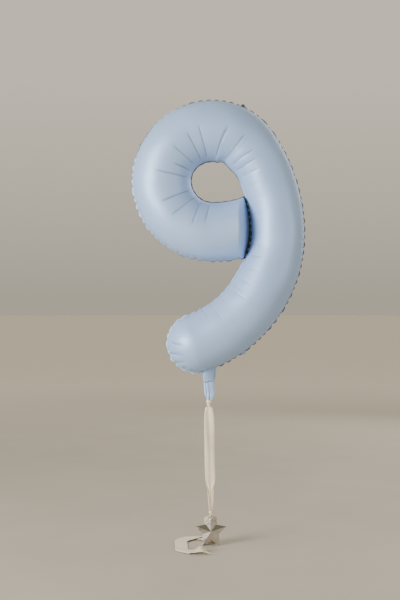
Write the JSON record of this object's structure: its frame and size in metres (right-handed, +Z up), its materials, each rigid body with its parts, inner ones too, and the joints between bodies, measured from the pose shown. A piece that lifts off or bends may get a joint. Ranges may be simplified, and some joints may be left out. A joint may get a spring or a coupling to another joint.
{
  "type": "foil number balloon",
  "caption": "Inflated two-panel foil numeral on a flat ribbon, tethered to a faceted star weight that stands on the floor.",
  "frame": {"origin": "on the floor, under the middle of the numeral's width and depth", "axes": "+Z up; the numeral's face looks along -Y; +X to the right as the numeral is read"},
  "size_m": [0.4874, 0.202, 1.2536],
  "materials": {
    "foil": "satin",
    "valve_film": "satin",
    "ribbon": "satin",
    "star_plating": "polished",
    "ballast": "matte"
  },
  "bodies": {
    "weight": {"star_front_shell": "star_plating", "star_back_shell": "star_plating", "star_ballast": "ballast", "ribbon_tail": "ribbon"},
    "link": {"ribbon_weight_link": "ribbon"},
    "knot": {"ribbon_weight_knot": "ribbon"},
    "tether": {"ribbon_taut": "ribbon"},
    "upper_knot": {"ribbon_neck_knot": "ribbon"},
    "balloon": {"front_foil_panel": "foil", "back_foil_panel": "foil", "valve_film_front": "valve_film", "valve_film_back": "valve_film", "ribbon_neck_wrap": "ribbon"}
  },
  "joints": [
    {"name": "tether_nod", "type": "hinge", "parent": "weight", "child": "link", "pos_m": [-0.0214, 0.003, 0.0837], "axis": [1, 0, 0], "range_deg": [-30, 30], "stiffness_Nm_per_rad": 6},
    {"name": "tether_sway", "type": "hinge", "parent": "link", "child": "knot", "pos_m": [-0.0214, 0.003, 0.0909], "axis": [0, 1, 0], "range_deg": [-30, 30], "stiffness_Nm_per_rad": 6, "springref_deg": -0.21},
    {"name": "balloon_turn", "type": "hinge", "parent": "knot", "child": "tether", "pos_m": [-0.0214, 0.003, 0.0962], "axis": [-0.0192, -0.0103, 0.9998], "continuous": true},
    {"name": "balloon_nod", "type": "hinge", "parent": "tether", "child": "upper_knot", "pos_m": [-0.027, 0, 0.3932], "axis": [1, 0, 0], "range_deg": [-20, 20], "stiffness_Nm_per_rad": 11},
    {"name": "balloon_tilt", "type": "hinge", "parent": "upper_knot", "child": "balloon", "pos_m": [-0.027, 0, 0.3932], "axis": [0, 1, 0], "range_deg": [-20, 20], "stiffness_Nm_per_rad": 11, "springref_deg": -0.13}
  ]
}
